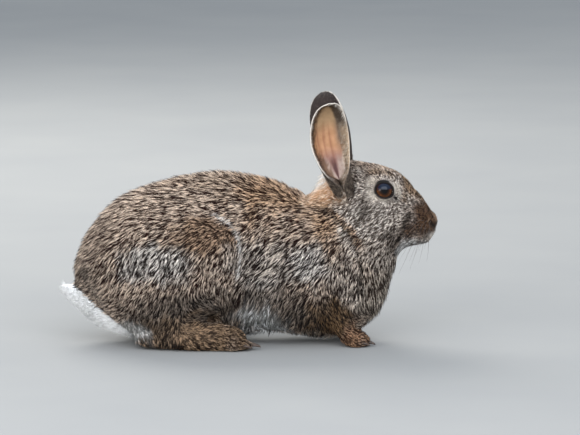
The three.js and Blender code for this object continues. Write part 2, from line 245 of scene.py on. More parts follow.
def from_line(points, line):
    """The distance of points to a line through several stations."""
    nearest = np.full(len(points), np.inf)
    for a, b in zip(line[:-1], line[1:]):
        d = b - a
        t = np.clip((points - a) @ d / (d @ d), 0, 1)
        nearest = np.minimum(nearest, np.linalg.norm(points - a - t[:, None] * d, axis=1))
    return nearest


# Lines: the front corner of the eye, and the folds of the face.
CANTHUS = [EYE + EYE_FRONT * 7.5 - EYE_UP * 4.4, EYE + EYE_FRONT * 12.8 - EYE_UP * 8.3]
NOSTRIL = [head(0.935, 0.34, 0.375), head(0.955, 0.37, 0.34), head(0.985, 0.45, 0.305)]
MOUTH = [head(0.995, 0.5, 0.28), head(0.955, 0.49, 0.205), head(0.87, 0.40, 0.165), head(0.80, 0.34, 0.17)]
CLEFT = [head(1.0, 0.5, 0.40), head(0.995, 0.5, 0.28)]
FOLDS = [(NOSTRIL, 2.6, 1.2), (MOUTH, 1.1, 0.9), (CLEFT, 0.8, 0.8)]  # a line, its depth and its width
WHISKER_ROWS, WHISKER_COLUMNS = 4, 5
WHISKER_ROOTS = np.array([head(0.935 - 0.032 * column - 0.006 * row, 0.20 - 0.028 * column + 0.035 * row,
                               0.40 - 0.045 * row + 0.006 * column)
                          for row in range(WHISKER_ROWS) for column in range(WHISKER_COLUMNS)])

# ---- how the coat lies
# Where, which way the hair points, its length, and how deep the coat is there. Right side.
GROOM = [
    (trunk(0.66, 0.5, 0.91), (-1, 0, 0.1), 11, 5.5),  # withers
    (trunk(0.45, 0.5, 1.0), (-1, 0, -0.05), 12, 6),  # loin
    (trunk(0.22, 0.5, 0.87), (-0.9, 0, -0.4), 12, 6),  # top of the rump
    (trunk(0.04, 0.5, 0.56), (-0.35, 0, -1), 12, 6),  # back of the rump
    (trunk(0.04, 0.36, 0.30), (-0.75, 0, -0.45), 7, 4.2),  # beside the tail
    (thigh(0.03, 0.4, 0.14), (-0.7, 0, -0.35), 7, 3.8),
    (trunk(0.44, 0.18, 0.80), (-0.85, -0.1, -0.5), 12, 6),  # side of the back
    (trunk(0.62, 0.18, 0.72), (-0.85, -0.1, -0.45), 11, 6),
    (thigh(0.55, 0.3, 0.85), (-0.75, -0.1, -0.6), 11, 5.5),  # top of the thigh
    (thigh(0.45, 0.05, 0.5), (-0.6, 0, -0.8), 12, 5.5),
    (thigh(0.08, 0.3, 0.45), (-0.4, 0, -0.95), 12, 6),
    (thigh(0.93, 0.3, 0.6), (-0.45, 0, -0.9), 9, 4.5),  # stifle
    (thigh(0.5, 0.1, 0.1), (-0.5, 0, -0.85), 11, 5),
    (trunk(0.55, 0.13, 0.50), (-0.7, 0, -0.7), 13, 6.5),  # flank
    (trunk(0.55, 0.20, 0.22), (-0.4, 0, -0.9), 13, 6.5),
    (trunk(0.57, 0.26, 0.08), (0.2, -0.6, -1), 15, 8),  # belly
    (trunk(0.45, 0.5, 0.02), (-0.9, 0, -0.2), 10, 5),
    (trunk(0.72, 0.09, 0.50), (-0.7, 0, -0.7), 11, 5.5),  # shoulder
    (trunk(0.70, 0.12, 0.22), (-0.5, 0, -0.85), 11, 5.5),  # elbow
    (trunk(0.94, 0.5, 0.32), (-0.15, 0, -1), 12, 6.5),  # chest
    (trunk(0.86, 0.27, 0.32), (-0.35, 0, -0.95), 12, 6),
    (trunk(0.83, 0.5, 0.08), (-0.2, 0, -1), 11, 5.5),
    (neck(0.3, 0.5, 1.0), (-0.9, 0, -0.3), 12, 7),  # nape
    (neck(0.46, 0.1, 0.5), (-0.75, 0, -0.65), 10, 5),
    (neck(0.88, 0.5, 0.26), (-0.35, 0, -0.95), 11, 5.5),  # throat
    (head(0.98, 0.5, 0.42), (-0.8, 0, 0.5), 2.2, 1.0),  # nose
    (head(0.80, 0.5, 0.68), (-0.85, 0, 0.5), 4.4, 1.9),  # bridge
    (head(0.59, 0.5, 0.90), (-0.95, 0, 0.25), 5, 2.2),  # forehead
    (head(0.37, 0.5, 0.99), (-1, 0, -0.1), 6, 2.6),  # crown
    (head(0.88, 0.3, 0.42), (-0.95, 0, 0.05), 2.8, 1.2),  # whisker pad
    (head(0.90, 0.38, 0.28), (-0.8, 0, -0.5), 2.4, 1.0),  # lip
    (head(0.78, 0.5, 0.20), (-0.95, 0, -0.15), 3.2, 1.4),  # chin
    (head(0.69, 0.24, 0.46), (-0.95, 0, -0.25), 5, 1.8),
    (head(0.46, 0.10, 0.44), (-0.85, 0, -0.5), 7.5, 2.6),  # cheek
    (head(0.56, 0.33, 0.16), (-0.8, 0, -0.5), 6.5, 3),  # jaw
    (head(0.37, 0.12, 0.67), (-0.85, 0, -0.35), 6, 2.2),
    (head(0.53, 0.30, 0.87), (-0.9, 0, 0.25), 3.8, 1.7),  # brow
    (head(0.34, 0.25, 0.85), (-0.7, 0, 0.5), 4, 1.8),  # in front of the ear
    (head(0.15, 0.17, 0.67), (-0.8, 0, -0.4), 7, 3),  # behind the ear
    (foreleg(0.5, 0.1, 0.5), (0.2, 0, -1), 6.5, 2.6),
    (forepaw(0.5, 0.5, 0.9), (0.9, 0, -0.4), 4.5, 1.5),
    (forepaw(0.9, 0.5, 0.3), (1, 0, -0.2), 3, 0.9),
    (hindpaw(0.5, 0.5, 1.0), (1, 0, -0.1), 6, 2.0),
    (hindpaw(0.9, 0.5, 0.5), (1, 0, -0.35), 3.6, 1.1),
    (hindpaw(0.04, 0.5, 0.5), (0.4, 0, -0.8), 7, 3),
    (tail(0.85, 0.5, 0.3), (-0.7, 0, -0.25), 10, 3.2),
    (tail(0.4, 0.5, 0.3), (-0.7, 0, -0.4), 11, 3.4),
    (tail(0.1, 0.5, 0.85), (-0.9, 0, -0.1), 10, 1.8),
]
GROOM_POINTS = np.array([row[0] for row in GROOM])
GROOM_VALUES = np.array([[*row[1], row[2], row[3]] for row in GROOM], float)
GROOM_REACH = 7.0  # the table's values blend over about this distance
EYE_REACH = 3.0  # and this near an eye the hair is short and points away from the lids


def laid(flow, normals):
    """Directions turned to lie along the skin."""
    return unit(flow - (flow * normals).sum(1, keepdims=True) * normals)


def groom(points, normals):
    """For each point: the direction of its hair along the skin, the hair's length and the coat's depth."""
    gap = ((mirrored(points)[:, None] - GROOM_POINTS) ** 2).sum(-1)
    weight = 1 / (gap + GROOM_REACH**2) ** 2.2
    values = weight @ GROOM_VALUES / weight.sum(1, keepdims=True)
    flow = unit(values[:, :3])
    flow[:, 1] *= -np.where(points[:, 1] > 0, 1, -1)
    away = points - EYE * np.where(points[:, 1:2] > 0, [1, -1, 1], [1, 1, 1])
    near = np.linalg.norm(away, axis=1) - EYE_RADIUS
    pull = np.exp(-np.maximum(near, 0) / EYE_REACH)[:, None]
    flow = flow * (1 - 0.85 * pull) + unit(away) * 1.3 * pull
    shorter = 1 - 0.62 * pull[:, 0]
    return laid(flow, normals), values[:, 3] * shorter, values[:, 4] * shorter


# ---- how the coat is marked
def colour(code):
    """A colour as seen on a screen, such as "c8b6a0", in linear light."""
    shown = np.array([int(code[i:i + 2], 16) for i in (0, 2, 4)]) / 255
    return np.where(shown <= 0.04045, shown / 12.92, ((shown + 0.055) / 1.055) ** 2.4)


def furs(**kinds):
    """For each kind of fur the light end and the dark end of its hairs, together six numbers."""
    return {name: np.concatenate([colour(end) for end in ends.split()]) for name, ends in kinds.items()}


def lay(coat, fur, share):
    """Lays one fur over a coat, by its share at each point."""
    coat += (fur - coat) * np.clip(share, 0, 1)[:, None]


FURS = furs(
    agouti="f2dcc6 2a1109",
    umber="e4bf9a 2a1207",
    rust="bb9878 25130a",
    silver="fbf7f1 2e2926",
    # the pale of a painted highlight along the front of the stifle
    edge="fffcf8 c6bfb6",
    grey="efe6db 28211d",
    # Dark fur; it is also painted shade on the heel, in the hollow over the foot and in the crease of the neck.
    sooty="7a6d61 15100d",
    dusk="d2c1ae 231a14",
    shadow="a39486 17110d",
    white="ffffff a9a9a4",
    tail="ffffff fafbfa",
    nape="ffe6cb e2b48a",
    cream="ffffff f3e8d9",
    face="fff4e6 50423a",
    cheek="fff6ea 53483f",
    bridge="b5926d 271910",
    muzzle="7d5c42 170d07",
    ring="fffaf0 e2d7c6",
    chest="f8ead8 3c3027",
    foreleg="9c7b58 21170f",
    paw="c79d7a 3f2a1e",
    foot="bf9f7e 2e2118",
    # The dark edges of the lids and the whisker roots, and also painted shade in the nostrils and the mouth.
    black="1f1713 0c0806",
)

# Which fur lies where: its middle, its half sizes and its strength. Later rows lie over earlier ones.
MARKINGS = [
    ("umber", trunk(0.68, 0.5, 0.86), (48, 40, 26), 0.9),  # withers and shoulders
    ("umber", trunk(0.80, 0.12, 0.62), (14, 26, 26), 0.6),
    ("umber", trunk(0.42, 0.5, 0.98), (70, 40, 14), 0.3),
    ("dusk", trunk(0.46, 0.5, 0.98), (52, 44, 11), 0.4),
    ("rust", thigh(0.76, 0.4, 0.78), (29, 20, 13), 0.8),
    ("dusk", thigh(0.45, 0.2, 0.62), (34, 20, 10), 0.5),
    ("silver", thigh(0.38, 0.22, 0.56), (30, 20, 15), 0.7),
    ("shadow", thigh(0.55, 0.1, 0.14), (50, 22, 19), 0.85),
    ("grey", trunk(0.58, 0.15, 0.48), (34, 22, 22), 0.7),
    ("silver", trunk(0.60, 0.10, 0.36), (20, 16, 12), 0.45),
    ("shadow", trunk(0.60, 0.2, 0.27), (40, 24, 19), 0.8),
    ("silver", trunk(0.74, 0.06, 0.52), (20, 16, 20), 0.75),
    ("sooty", trunk(0.74, 0.14, 0.20), (18, 16, 10), 0.8),
    ("chest", trunk(0.93, 0.5, 0.32), (26, 32, 40), 0.9),
    ("grey", trunk(0.84, 0.2, 0.4), (16, 20, 30), 0.5),
    ("white", trunk(0.575, 0.25, 0.13), (25, 22, 22), 1.0),  # below the stifle
    ("white", trunk(0.20, 0.22, 0.04), (30, 34, 12), 0.65),
    ("white", trunk(0.50, 0.5, 0.0), (90, 34, 10), 1.0),
    ("sooty", trunk(0.05, 0.30, 0.42), (9, 8, 7), 0.7),  # spot over the tail
    ("shadow", neck(0.85, 0.5, 0.3), (22, 30, 22), 0.75),
    ("face", head(0.6, 0.5, 0.5), (62, 40, 44), 1.0),
    ("cheek", head(0.40, 0.08, 0.40), (24, 14, 17), 0.75),
    ("bridge", head(0.80, 0.5, 0.68), (26, 9, 22), 0.9),
    ("umber", head(0.56, 0.5, 0.96), (25, 22, 11), 0.55),
    ("agouti", head(0.32, 0.5, 1.0), (18, 16, 10), 0.6),
    ("shadow", head(0.65, 0.3, 0.2), (13, 18, 13), 0.8),
    ("muzzle", head(0.93, 0.5, 0.42), (21, 34, 16), 0.95),
    ("muzzle", head(0.87, 0.3, 0.33), (13, 20, 11), 0.9),  # whisker pad
    ("sooty", head(0.40, 0.07, 0.58), (4, 9, 9), 0.6),  # behind and below the eye
    ("sooty", head(0.42, 0.07, 0.505), (4, 9, 3), 0.7),
    ("cream", head(0.95, 0.5, 0.23), (6, 11, 4), 0.7),  # lip
    ("white", head(0.77, 0.5, 0.15), (12, 14, 7), 0.85),  # chin
    ("umber", neck(0.37, 0.12, 0.62), (12, 14, 14), 0.75),  # behind the crease of the neck
    ("nape", neck(0.34, 0.5, 0.95), (19, 26, 17), 1.0),
    ("cream", neck(0.22, 0.5, 1.02), (17, 16, 13), 0.95),
    ("foreleg", foreleg(0.5, 0.5, 0.4), (18, 18, 26), 1.0),
    ("paw", forepaw(0.5, 0.5, 0.4), (17, 14, 14), 1.0),
    ("foot", hindpaw(0.52, 0.5, 0.5), (66, 24, 19), 1.0),
    # painted shade on the heel
    ("sooty", hindpaw(0.22, 0.5, 0.7), (22, 22, 12), 0.5),  # heel
    ("white", thigh(0.19, 0.4, 0.0), (12, 22, 9), 0.75),
    # painted shade in the hollow over the foot
    ("sooty", hindpaw(0.55, 0.4, 1.05), (17, 12, 6), 0.85),  # hollow over the foot
]
MARK_EDGE = 0.38  # how softly a marking ends, as a share of its size
RAGGED = 0.13  # how far its edge wanders, as a share too

# Narrow markings: the fur, the line it follows, its half width and its strength.
STREAKS = [
    ("umber", [neck(0.36, 0.2, 0.765), neck(0.49, 0.17, 0.65), neck(0.60, 0.14, 0.53),
               neck(0.66, 0.13, 0.40)], 3.4, 0.85),  # crease of the neck
    # Painted shade along the crease between the neck and the shoulder.
    ("sooty", [neck(0.36, 0.2, 0.73), neck(0.49, 0.17, 0.61), neck(0.60, 0.14, 0.48),
               trunk(0.90, 0.24, 0.48), trunk(0.89, 0.23, 0.34)], 2.0, 0.8),
    # A painted highlight: a pale line along the front edge of the thigh at the stifle.
    ("edge", [thigh(0.84, 0.77, 0.91), thigh(0.93, 0.75, 0.88), thigh(1.0, 0.67, 0.78),
              thigh(1.01, 0.62, 0.67), thigh(0.995, 0.58, 0.45)], 1.6, 0.8),  # stifle
    ("sooty", [tail(0.20, 0.33, 1.0), tail(0.36, 0.2, 0.86), tail(0.55, 0.0, 0.68),
               tail(0.75, -0.5, 0.48)], 2.2, 1.0),  # over the tail
    ("sooty", [head(0.775, 0.25, 0.47), head(0.735, 0.24, 0.38), head(0.72, 0.26, 0.30),
               head(0.69, 0.28, 0.23), head(0.65, 0.28, 0.18)], 2.2, 0.9),  # behind the whisker pad
    ("bridge", [head(0.70, 0.30, 0.80), head(0.735, 0.29, 0.70), head(0.735, 0.27, 0.60)], 2.6, 0.8),
    ("sooty", [head(0.745, 0.36, 0.75), head(0.79, 0.33, 0.64)], 1.6, 0.6),
    ("bridge", [head(0.44, 0.20, 0.90), head(0.53, 0.25, 0.89), head(0.62, 0.30, 0.86)], 3.2, 0.65),
    ("sooty", [head(0.93, 0.33, 0.28), head(0.90, 0.33, 0.20)], 2.0, 0.5),
    ("cream", [head(0.98, 0.44, 0.28), head(0.975, 0.44, 0.23), head(0.94, 0.42, 0.17)], 1.7, 1.0),
    ("nape", [head(0.92, 0.32, 0.385), head(0.93, 0.33, 0.405)], 0.9, 0.35),
    ("nape", [head(0.965, 0.42, 0.50), head(0.995, 0.45, 0.40)], 2.6, 0.35),  # nose
    # Painted shade in the slits of the mouth and the nostril, and in the corner of the mouth.
    ("black", MOUTH[1:], 1.2, 0.9),
    ("black", NOSTRIL, 1.9, 1.0),
    ("black", [head(0.795, 0.385, 0.165), head(0.84, 0.43, 0.155)], 0.9, 0.9),  # corner of the mouth
    ("ring", [head(0.665, 0.285, 0.745), head(0.685, 0.28, 0.69), head(0.70, 0.275, 0.635)], 1.3, 0.7),
    ("black", CANTHUS, 2.0, 1.0),
]
# The pale ring round the eye is strongest in four places: angle, spread, distance from the lids, strength.
EYE_RING = ((148, 24, 6.0, 0.82), (2, 30, 4.2, 0.95), (-85, 38, 3.0, 0.3), (205, 32, 4.2, 0.65))
RING_WIDTH = 2.8
FOLLICLE = 0.7  # size of the dark spot at a whisker's root
LID_SOFTNESS = 0.5


def markings(points):
    """The light and the dark colour of the fur at each point, as six numbers."""
    places = mirrored(points)
    ragged = np.stack([wobble(points + shift, 14) for shift in (0, 50, 90)], -1) * RAGGED
    coat = np.tile(FURS["agouti"], (len(points), 1))
    for fur, middle, size, strength in MARKINGS:
        reach = np.linalg.norm((places - middle) / size + ragged, axis=1)
        lay(coat, FURS[fur], strength * falling(reach, 1 + MARK_EDGE, 2 * MARK_EDGE))
    around, beyond = beyond_lid(places)
    lay(coat, FURS["ring"], np.max([
        strength * bump_at(around, at, spread) * np.exp(-((beyond - far) / RING_WIDTH) ** 2)
        for at, spread, far, strength in EYE_RING], axis=0))
    for fur, line, width, strength in STREAKS:
        lay(coat, FURS[fur], strength * smoothstep(1.5 - from_line(places, line) / width))
    follicle = np.sqrt(((places[:, None] - WHISKER_ROOTS) ** 2).sum(-1).min(1))
    lay(coat, FURS["black"], 0.65 * smoothstep(1.6 - follicle / FOLLICLE))
    lay(coat, FURS["black"], smoothstep((lid_margin(around) - beyond) / LID_SOFTNESS + 0.5))
    return coat


# ---- ears
def profile(*stations):
    """A smooth curve through (position, value) stations, positions rising."""
    at, value = np.array(stations, float).T
    before, after = np.maximum(np.arange(len(at)) - 1, 0), np.minimum(np.arange(len(at)) + 1, len(at) - 1)
    slope = (value[after] - value[before]) / (at[after] - at[before])

    def curve(s):
        s = np.asarray(s, float)
        i = np.clip(np.searchsorted(at, s, "right") - 1, 0, len(at) - 2)
        w = at[i + 1] - at[i]
        t = np.clip((s - at[i]) / w, 0, 1)
        return ((1 + 2 * t) * (1 - t) ** 2 * value[i] + t * (1 - t) ** 2 * w * slope[i]
                + t * t * (3 - 2 * t) * value[i + 1] + t * t * (t - 1) * w * slope[i + 1])

    return curve


# Foot and tip of each ear's midline from the eye beside it, the way its hollow opens, and its bow.
EARS = {"right": ((-34.4, 2.6, -1.6), (-46.4, -30.4, 76.8), (0.12, -1, 0), 5),
        "left": ((-34.4, -2.6, -0.6), (-49.8, 13.4, 79.6), (0.3, 1, 0), 2)}
EAR_WALL = (1.7, 0.8)  # thickness of the skin in the middle of an ear and at its rim
EAR_ROWS, EAR_COLUMNS = 56, 30
ear_half_width = profile((0, 7.0), (0.12, 7.8), (0.25, 9.8), (0.4, 13.6), (0.55, 16.3), (0.7, 16.2),
                         (0.84, 13.8), (0.93, 10.2), (0.98, 6), (1, 2.4))
ear_curl = profile((0, 174), (0.15, 170), (0.24, 140), (0.32, 108), (0.5, 80), (0.75, 64), (1, 50))


class Ear:
    """A cupped leaf on a curved midline: where a point lies on it, and the other way round."""

    def __init__(self, name):
        foot, tip, facing, bow = EARS[name]
        eye = on("eye_" + name, 0.5, 0.5, 0.5)
        self.foot = eye + foot
        self.along = eye + tip - self.foot
        self.bow = np.array([-bow, 0, 0])
        upward = unit(self.along)
        self.open = unit(facing - upward * (facing @ upward))
        self.across = unit(np.cross(self.open, self.along))
        self.front = np.sign(self.across[0])  # the side of a turn that is the ear's front edge

    def radius(self, s):
        return ear_half_width(s) / np.sin(np.minimum(np.radians(ear_curl(s)), math.pi / 2))

    def axis(self, s):
        cup = self.radius(s) * (1 - np.cos(np.radians(ear_curl(s)))) * 0.5
        return (self.foot + self.along * s[..., None] + self.open * cup[..., None]
                + self.bow * np.sin(math.pi * s)[..., None])

    def point(self, s, r, turn):
        return (self.axis(s) + self.across * (r * np.sin(turn))[..., None]
                - self.open * (r * np.cos(turn))[..., None])

    def place(self, points):
        """Share of the length, turn to the front edge, whether inside the cup, and distance from the rim."""
        s = np.zeros(len(points))
        for _ in range(3):
            level = points - self.bow * np.sin(math.pi * s)[:, None]
            s = np.clip((level - self.foot) @ self.along / (self.along @ self.along), 0, 1)
        q = points - self.axis(s)
        side, back_side = q @ self.across, -(q @ self.open)
        turn = np.arctan2(side, back_side)
        inside = np.hypot(side, back_side) < self.radius(s)
        rim = (np.radians(ear_curl(s)) - np.abs(turn)) * self.radius(s)
        rim = np.minimum(rim, (1 - s) * np.linalg.norm(self.along) * 1.7 + 0.6)
        return s, turn * self.front, inside, np.maximum(rim, 0)

    def holds(self, points):
        """Whether points of the skin are on this ear."""
        s = self.place(points)[0]
        q = points - self.axis(s)
        beyond = np.hypot(q @ self.across, q @ self.open) - self.radius(s)
        return (beyond < EAR_WALL[0] / 2 + 0.4) & ((s > 0.12) | (s > 0.02) & (beyond > -1.2))

    def lofted(self):
        """The two faces are grids that meet at the rim, and the foot is filled in to a solid stalk."""
        rows = np.linspace(0, 1, EAR_ROWS + 1)
        rows = (rows + np.sin(math.pi * rows / 2)) / 2
        s, t = np.meshgrid(rows, np.linspace(-1, 1, EAR_COLUMNS + 1), indexing="ij")
        filled = falling(s, 0.3, 0.14)
        wall = (EAR_WALL[0] + (EAR_WALL[1] - EAR_WALL[0]) * t * t) / 2
        turn = t * np.radians(ear_curl(s))
        outer = self.point(s, self.radius(s) + wall, turn)
        inner = self.point(s, (self.radius(s) - wall) * (1 - filled), turn)
        rings = np.concatenate([outer, inner[:, ::-1]], axis=1)
        count = rings.shape[1]
        c = np.arange(EAR_COLUMNS)
        other = count - 1 - c
        cap = np.concatenate([np.stack([c, c + 1, other], -1), np.stack([c + 1, other - 1, other], -1)])
        return rings.reshape(-1, 3), np.concatenate([
            bands(EAR_ROWS, count).reshape(-1, 3), cap[:, [0, 2, 1]], cap + EAR_ROWS * count])


ears = {name: Ear(name) for name in EARS}

# ---- eyelids
LID_STEPS = 72
# Rings of a lid: angle beyond the opening, height over the eyeball.
LID_RINGS = [(0, 0.05), (0.5, 0.6), (4, 1.15), (14, 1.35), (26, 1.25), (36, 0.5), (44, -0.8), (42, -2.5),
             (18, -2.0), (0, -1.0)]


def lid(side):
    """A closed ring round the opening of an eye, which hugs the eyeball."""
    eye, axis, front, up = (v * [1, -side, 1] for v in (EYE, GAZE, EYE_FRONT, EYE_UP))
    around = np.linspace(0, 2 * math.pi, LID_STEPS, endpoint=False)
    points = np.concatenate([
        eye + swung(axis, swung(front, up, around), lid_opening(around) + math.radians(beyond))
        * (EYE_RADIUS + height) for beyond, height in LID_RINGS])
    triangles = bands(len(LID_RINGS), LID_STEPS).swapaxes(0, 1).reshape(-1, 3) % len(points)
    return points, triangles if side < 0 else triangles[:, ::-1]


# ---- skin
NODE_PUSH = 0.7  # closes the thin cuts between the nodes
FINE_VOXEL, COARSE_VOXEL = 1.0, 1.75
SMOOTHING = 34  # rounds of smoothing on a mesh of 1 mm
INSET_STEPS = 5
SEAM_OVERLAP = 0.25
# Where the skin stands out, or in, from the smoothed nodes: middle, half sizes, how far.
SWELLS = [
    (trunk(0.66, 0.5, 0.90), (9, 30, 12), 5.0),  # withers
    (trunk(0.735, 0.5, 0.86), (8, 26, 9), -4.0),
    (head(0.45, 0.5, 1.0), (22, 24, 9), -0.8),
    (head(0.60, 0.5, 0.94), (14, 24, 9), -1.2),
    (head(0.77, 0.5, 0.77), (12, 22, 11), 2.4),  # root of the nose
    (head(0.86, 0.5, 0.61), (8, 16, 7), 1.7),
    (head(0.957, 0.5, 0.49), (5, 12, 5), -0.9),
    (tail(0.45, 0.5, 0.2), (24, 20, 14), 3.0),  # underside of the tail
]


def pushed_copy(node):
    """A welded copy of a node's mesh, moved out along its normals."""
    copy = bmesh.new()
    copy.from_mesh(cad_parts[node].data)
    bmesh.ops.remove_doubles(copy, verts=copy.verts, dist=0.00001)
    mesh = bpy.data.meshes.new(node)
    copy.to_mesh(mesh)
    copy.free()
    points, triangles = arrays(mesh)
    bpy.data.meshes.remove(mesh)
    return points + vertex_normals(points, triangles) * NODE_PUSH, triangles


def skin_body(voxel):
    """Every node of flesh but the ears as one closed surface, smoothed and drawn in by the coat's depth."""
    shells = object_of("shells", *merged([pushed_copy(node) for node in FLESH]))
    joined = with_modifier(shells, "REMESH", mode="VOXEL", voxel_size=voxel * MM)
    remove(shells)
    points, triangles = arrays(joined)
    bpy.data.meshes.remove(joined)
    edges = edge_pairs(triangles)
    depth = groom(points, vertex_normals(points, triangles))[2]
    # Long fur hides broad forms, so its skin is smoothed most.
    strength = np.clip(0.12 + 0.1 * depth, 0, 0.6)
    points = smoothed(points, edges, round(SMOOTHING / voxel**2), strength)
    for _ in range(INSET_STEPS):
        normals = unit(smoothed(vertex_normals(points, triangles), edges, 3))
        points = points - normals * ((depth + NODE_PUSH) / INSET_STEPS)[:, None]
        points = smoothed(points, edges, 2, strength)
    places, normals = mirrored(points), vertex_normals(points, triangles)
    for middle, size, push in SWELLS:
        reach = np.linalg.norm((places - middle) / size, axis=1)
        points = points + normals * (push * np.exp(-reach**2))[:, None]
    for line, fold_depth, width in FOLDS:
        points = points - normals * (fold_depth * np.exp(-(from_line(places, line) / width) ** 2))[:, None]
    return object_of("skin", points, triangles)


def block(low, high):
    """A box as an object."""
    corners = np.array([[x, y, z] for x in (0, 1) for y in (0, 1) for z in (0, 1)])
    quads = np.array([[0, 1, 3, 2], [4, 6, 7, 5], [0, 4, 5, 1], [2, 3, 7, 6], [0, 2, 6, 4], [1, 5, 7, 3]])
    return object_of("block", low + corners * (high - low), quads)


def fine_blocks(grow):
    """What is meshed finely: boxes round the head and the front of each paw."""
    boxes = [block(head(0.12, 0, 0) - [grow, 20, 4 + grow], head(1, 1, 1) + 20)]
    for name in SIDES:
        for paw, start in (("hindpaw_", 0.62), ("forepaw_", 0.25)):
            boxes.append(block(on(paw + name, start, 0, 0) - [grow, 2 + grow, 5],
                               on(paw + name, 1, 1, 1) + [8, 2 + grow, grow]))
    return boxes


def combined(operation, whole, *tools):
    """One closed object joined with, or cut by, others, which are used up."""
    for tool in tools:
        mesh = with_modifier(whole, "BOOLEAN", operation=operation, solver="MANIFOLD", object=tool)
        old, whole.data = whole.data, mesh
        bpy.data.meshes.remove(old)
        remove(tool)
    return whole


def whole_skin():
    fine = combined("INTERSECT", skin_body(FINE_VOXEL), combined("UNION", *fine_blocks(SEAM_OVERLAP)))
    coarse = combined("DIFFERENCE", skin_body(COARSE_VOXEL), *fine_blocks(0))
    grown = [object_of("grown", *ear.lofted()) for ear in ears.values()]
    grown += [object_of("grown", *lid(side)) for side in SIDES.values()]
    return combined("UNION", coarse, fine, *grown)


skin = whole_skin()
skin.name = "skin"
skin.data.polygons.foreach_set("use_smooth", np.ones(len(skin.data.polygons), bool))
skin_points, skin_triangles = arrays(skin.data)
skin_normals = vertex_normals(skin_points, skin_triangles)
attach(skin, "root")
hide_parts(*FLESH, "ear_right", "ear_left")


# ---- which node each bit of skin stands for
def nearest_nodes(points):
    """The name of the node that each point belongs to: the ear it is on, or else the nearest flesh."""
    parts = [arrays(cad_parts[name].data) for name in FLESH]
    owner = np.repeat(FLESH, [len(triangles) for _, triangles in parts])
    tree = BVHTree.FromPolygons(*(part.tolist() for part in merged(parts)))
    nodes = owner[[tree.find_nearest(p)[2] for p in points.tolist()]]
    for name, ear in ears.items():
        nodes[ear.holds(points)] = "ear_" + name
    return nodes


triangle_centre = skin_points[skin_triangles].mean(1)
triangle_node = nearest_nodes(triangle_centre)
triangle_area = np.linalg.norm(face_normals(skin_points, skin_triangles), axis=1) / 2

# ---- groom and markings of the ears
EAR_FURS = furs(
    back="50433e 1b1412",
    base="8d7f70 40362f",
    rim="f1ece4 c9beb0",
    fringe="7b5c44 2e1f16",
    buff="fff6e6 d0b596",
    # painted shade of the hollow's front wall
    shade="756b5f 5a5048",
    inside_top="b39470 86694b",
    inside_middle="c79873 a2744f",
    inside_low="a37d72 7d5851",
    # painted shade of the opening at the foot of the hollow
    slit="54302b 351c1a",
    down="b3a296 7c6b61",
    vein="8c5540 74432f",
)
EAR_RIM = 1.0  # width of the pale edge
EAR_FRINGE = 11.0  # how far the dark hairs inside the rear edge reach
EAR_BUFF = 10.0  # and those inside the front edge, which are pale
EAR_VEINS = ((-0.25, 0.35), (-0.62, 0.2), (0.12, -0.25))  # their turn, and how it changes towards the tip


def ear_coat(points, normals, ear):
    """The lie, length, depth, markings and bareness of an ear's fur at points on it."""
    s, turn, inside, rim = ear.place(points)
    front, low = turn > 0, falling(s, 0.36, 0.24)
    # Inside, the edge hairs point in over the hollow, and those of the front edge most.
    inward = -unit(ear.across * np.sign(turn * ear.front)[:, None])
    edge = np.where(inside, np.exp(-(rim / np.where(front, 9.0, 5.0)) ** 2), 0)
    upward = 1 - np.where(front, 1.7, 1.0) * edge
    flow = unit(ear.along) * upward[:, None] + inward * (0.9 * edge)[:, None]
    thinner = 1 - 0.4 * falling(rim, 1.6, 0.8)
    length = np.where(inside, 1.6 + edge * np.where(front, 4.6, 2.4), 1.9 + 4.2 * low) * thinner
    depth = np.where(inside, 0.4 + 1.6 * edge * front, 0.45 + 1.5 * low) * thinner
    fur = np.tile(EAR_FURS["back"], (len(points), 1))

    def paint(name, share):
        lay(fur, EAR_FURS[name], share)

    paint("base", low)
    paint("inside_top", inside)
    paint("inside_middle", inside * falling(s, 0.78, 0.2))
    paint("inside_low", inside * falling(s, 0.50, 0.16))
    for middle, drift in EAR_VEINS:
        away = np.abs(turn - middle - drift * (s - 0.5)) * 15
        paint("vein", inside * 0.5 * smoothstep(1.4 - away) * falling(s, 0.85, 0.3) * (s > 0.3))
    # Painted shade on the front wall of the hollow.
    paint("shade", inside * 0.85 * rising(turn, 0.25, 0.4) * rising(s, 0.38, 0.2))
    paint("down", inside * falling(s, 0.42, 0.12) * rising(np.abs(turn), 0.2, 0.25) * 0.9)
    # Painted shade where the hollow closes at the foot of the ear.
    paint("slit", inside * falling(s, 0.40, 0.12) * falling(np.abs(turn), 0.36, 0.25))
    deeper = 9 * falling(s, 0.48, 0.15)  # low down the edge hairs reach further in
    fringe = smoothstep((EAR_FRINGE + deeper - rim + 1.5 * wobble(points, 3)) / 5.0)
    paint("fringe", inside * ~front * fringe * 0.85)
    paint("fringe", inside * rising(s, 0.9, 0.06) * 0.7)
    paint("buff", inside * front * falling(rim, EAR_BUFF + deeper / 2, 4.0) * falling(s, 0.8, 0.15)
          * (0.35 + 0.65 * rising(s, 0.24, 0.16)))
    reach = EAR_RIM + np.where(inside, 0.2, 0.5) + 0.3 * wobble(points, 3)
    strength = np.where(front, 0.1 + 0.9 * rising(s, 0.7, 0.12), 1.0) * rising(s, 0.22, 0.16)
    paint("rim", falling(rim, reach, 0.6) * strength)
    return laid(flow, normals), length, depth, fur, inside * rising(rim, 8, 4)


def coat_at(points, normals, nodes):
    """Lie, length, depth, markings and bareness of the coat at points on the named nodes."""
    coat = (*groom(points, normals), markings(points), np.zeros(len(points)))
    # The tail is white but for its top.
    is_tail = nodes == "tail"
    topside = rising(normals[is_tail, 2:], 0.35, 0.3) * rising(points[is_tail, :1], tail(0.2, 0, 0)[0], 8)
    coat[3][is_tail] = FURS["tail"] + (FURS["sooty"] - FURS["tail"]) * topside
    for name, ear in ears.items():
        here = nodes == "ear_" + name
        if here.any():
            for values, of_ear in zip(coat, ear_coat(points[here], normals[here], ear)):
                values[here] = of_ear
    return coat


